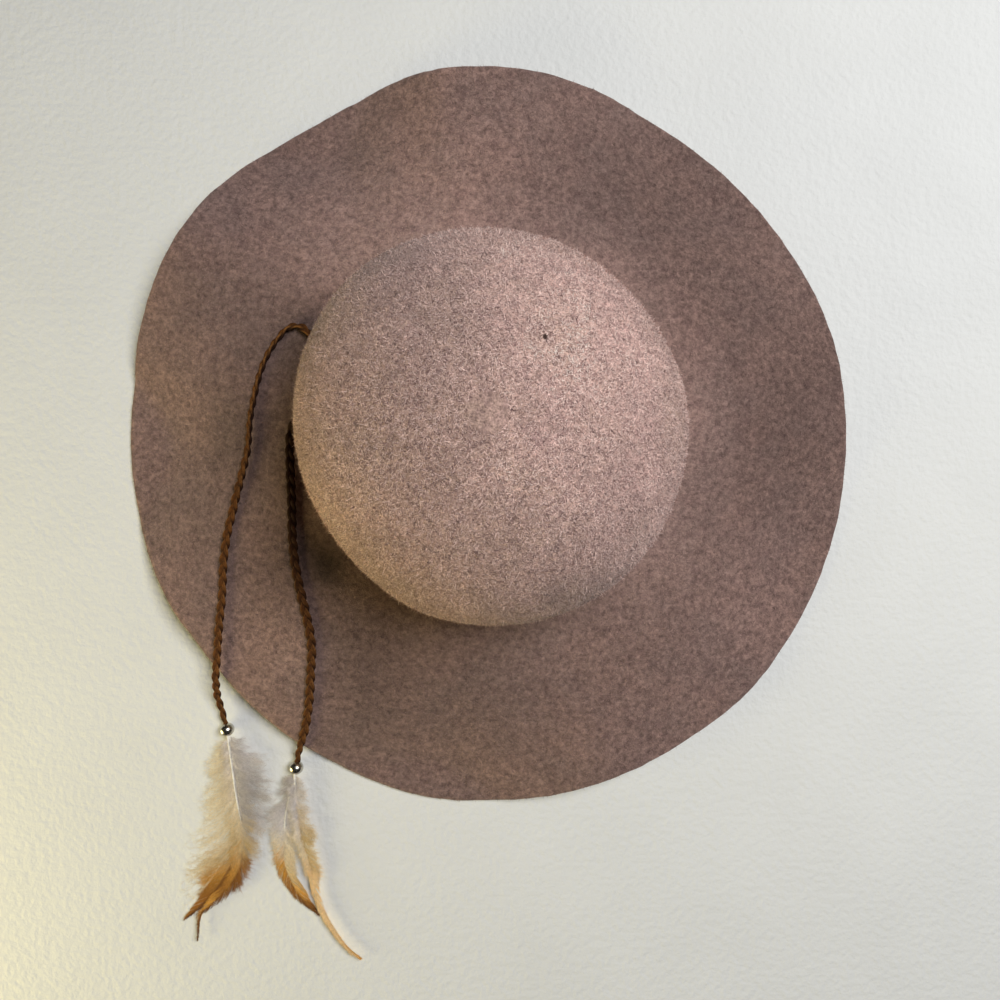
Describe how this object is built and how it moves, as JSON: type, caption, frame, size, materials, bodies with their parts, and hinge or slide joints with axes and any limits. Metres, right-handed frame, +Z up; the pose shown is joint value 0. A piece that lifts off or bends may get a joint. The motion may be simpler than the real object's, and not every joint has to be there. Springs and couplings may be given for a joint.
{
  "type": "floppy hat",
  "caption": "Soft wool felt hat with a round dome crown, a wide wavy brim and a plaited cord band whose tied ends carry beads and feathers.",
  "frame": {"origin": "on the surface that the brim rests on, under the middle of the felt", "axes": "+Z up from the surface through the crown; the ties and feathers lie towards -Y, left of the middle seen from above with +X to the right"},
  "size_m": [0.4043, 0.5006, 0.138],
  "materials": {
    "felt": "brushed wool felt, pinkish grey-brown with darker and paler fibres",
    "plait": "three-strand suede plait, dark brown with tan edges",
    "silver": "polished silver",
    "down": "soft feather down, grey and cream",
    "rust": "feather vane, golden to rust brown"
  },
  "bodies": {
    "root": {"hat_body": "felt", "hat_band": "plait", "knot": "plait", "tie_left": "plait", "bead_left": "silver", "tie_right": "plait", "bead_right": "silver", "feather_left_broad": "down", "feather_left_rust": "rust", "feather_right_long": "rust", "feather_right_rust": "rust"}
  },
  "joints": []
}
